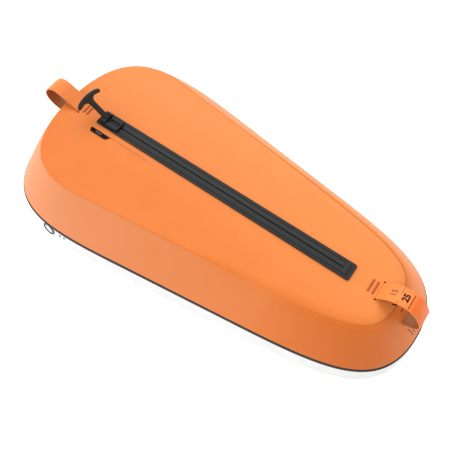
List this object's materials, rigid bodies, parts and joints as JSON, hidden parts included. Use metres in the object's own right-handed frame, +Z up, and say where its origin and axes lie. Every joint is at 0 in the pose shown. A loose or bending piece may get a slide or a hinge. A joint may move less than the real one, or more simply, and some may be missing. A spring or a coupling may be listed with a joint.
{
  "type": "portable defibrillator",
  "caption": "Flat tapered portable defibrillator: pale rigid base with power button, orange zipped cover with end carry loops, electronics and electrode pads inside.",
  "frame": {"origin": "middle of the length, on the flat underside of the sole pad", "axes": "+X along the length towards the narrow end, +Z up from the sole to the zipped top, -Y towards the side with the power button"},
  "size_m": [0.408, 0.212, 0.0888],
  "materials": {
    "orange_fabric": "coated woven, satin",
    "orange_webbing": "woven webbing",
    "tack_thread": "stitched",
    "zip_rubber": "satin",
    "black_plastic": "satin",
    "white_shell": "satin",
    "grey_plastic": "satin",
    "dark_rubber": "matte",
    "steel": "brushed",
    "heatsink": "anodised",
    "capacitor_sleeve": "satin sleeve",
    "winding": "varnished",
    "circuit_board": "solder mask",
    "relay_case": "gloss",
    "shock_orange": "gloss",
    "info_blue": "gloss",
    "lead_grey": "satin",
    "pad_foam": "foam",
    "foil": "crinkled foil"
  },
  "bodies": {
    "case": {"sole_pad": "dark_rubber", "base_shell": "white_shell", "battery_hatch": "grey_plastic", "hatch_screw_1": "steel", "hatch_screw_2": "steel", "hatch_screw_3": "steel", "hatch_screw_4": "steel", "button_bezel": "black_plastic", "power_switch": "black_plastic", "status_lens_1": "black_plastic", "status_lens_2": "black_plastic", "rim_gasket": "dark_rubber", "rim_trim": "dark_rubber", "battery_pack": "black_plastic", "hv_capacitor": "capacitor_sleeve", "capacitor_cradle": "black_plastic", "charge_transformer": "winding", "bridge_heatsink": "heatsink", "relay": "relay_case", "speaker": "black_plastic", "main_board": "circuit_board", "upper_housing": "grey_plastic", "pads_socket": "black_plastic", "pads_plug": "white_shell", "pads_lead": "lead_grey", "electrode_pad_1": "pad_foam", "electrode_pad_2": "pad_foam", "pads_pouch": "foil", "cover_wall": "orange_fabric", "seam_tape": "orange_fabric", "cover_top": "orange_fabric", "label_plate": "black_plastic", "wide_end_loop": "orange_webbing", "narrow_end_loop": "orange_webbing", "wide_end_tack_1": "tack_thread", "wide_end_tack_2": "tack_thread", "narrow_end_tack_1": "tack_thread", "narrow_end_tack_2": "tack_thread", "zip_frame": "zip_rubber", "zip_tape_left": "zip_rubber", "zip_tape_right": "zip_rubber", "zip_teeth_left": "black_plastic", "zip_teeth_right": "black_plastic", "zip_dock": "black_plastic", "zip_stop": "black_plastic"},
    "slider": {"zip_slider": "black_plastic", "handle_pin": "steel"},
    "pull": {"zip_handle": "black_plastic"},
    "power_key": {"power_button": "white_shell"},
    "shock_key": {"shock_button": "shock_orange"},
    "info_key": {"info_button": "info_blue"}
  },
  "joints": [
    {"name": "zip_slide", "type": "slide", "parent": "case", "child": "slider", "axis": [1, 0, 0], "range_m": [0, 0.228]},
    {"name": "pull_hinge", "type": "hinge", "parent": "slider", "child": "pull", "pos_m": [-0.132, 0, 0.0713], "axis": [0, 1, 0], "range_deg": [-32, 98]},
    {"name": "power_press", "type": "slide", "parent": "case", "child": "power_key", "axis": [0.0459, 0.9771, -0.2079], "range_m": [0, 0.0012], "stiffness_N_per_m": 600},
    {"name": "shock_press", "type": "slide", "parent": "case", "child": "shock_key", "axis": [0, 0, -1], "range_m": [0, 0.002], "stiffness_N_per_m": 600},
    {"name": "info_press", "type": "slide", "parent": "case", "child": "info_key", "axis": [0, 0, -1], "range_m": [0, 0.0015], "stiffness_N_per_m": 600}
  ]
}
